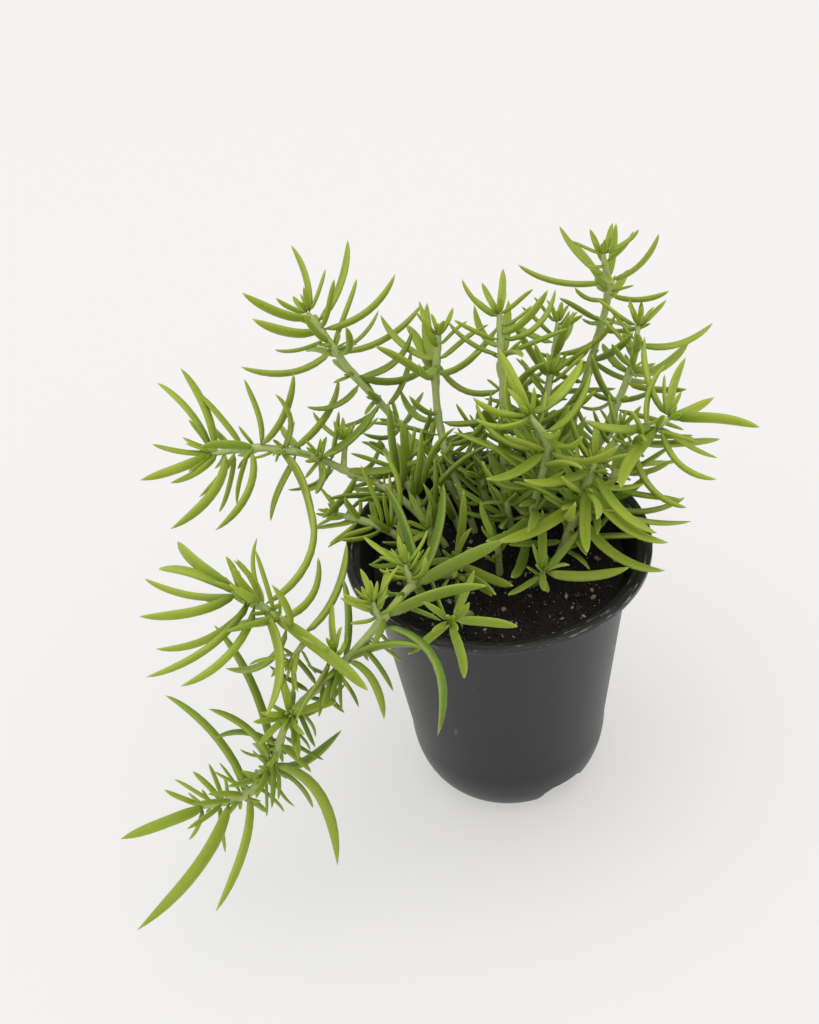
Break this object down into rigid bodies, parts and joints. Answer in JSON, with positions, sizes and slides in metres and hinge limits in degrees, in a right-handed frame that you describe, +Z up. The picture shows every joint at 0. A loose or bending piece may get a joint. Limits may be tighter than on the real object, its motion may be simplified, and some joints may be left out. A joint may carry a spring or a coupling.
{
  "type": "potted sedum",
  "caption": "Small plastic nursery pot of soil with a loose tuft of narrow-leaved sedum stems that rise, lean out and trail over its rim.",
  "frame": {"origin": "centre of the pot's flat underside, on the surface the pot stands on", "axes": "+Z up along the pot's axis, +X to the right and +Y to the back as the pot is seen from the front, with the long trailing stem on the left"},
  "size_m": [0.1661, 0.1638, 0.1356],
  "materials": {
    "black_plastic": "satin",
    "potting_soil": "matte",
    "sedum_leaf": "satin"
  },
  "bodies": {
    "root": {"pot": "black_plastic", "soil": "potting_soil", "trailing_stem": "sedum_leaf", "left_stem": "sedum_leaf", "back_left_stem": "sedum_leaf", "upright_left_stem": "sedum_leaf", "rim_left_stem": "sedum_leaf", "rim_back_stem": "sedum_leaf", "over_rim_left_stem": "sedum_leaf", "front_low_stem": "sedum_leaf", "front_rim_stem": "sedum_leaf", "soil_right_stem": "sedum_leaf", "centre_stem": "sedum_leaf", "right_front_stem": "sedum_leaf", "right_stem": "sedum_leaf", "right_back_stem": "sedum_leaf", "top_stem": "sedum_leaf", "back_right_stem": "sedum_leaf", "back_stem": "sedum_leaf", "far_back_stem": "sedum_leaf", "mid_back_stem": "sedum_leaf", "low_back_stem": "sedum_leaf", "inner_front_stem": "sedum_leaf", "inner_left_stem": "sedum_leaf", "inner_centre_stem": "sedum_leaf", "inner_back_stem": "sedum_leaf", "inner_right_stem": "sedum_leaf", "inner_low_left_stem": "sedum_leaf"}
  },
  "joints": []
}
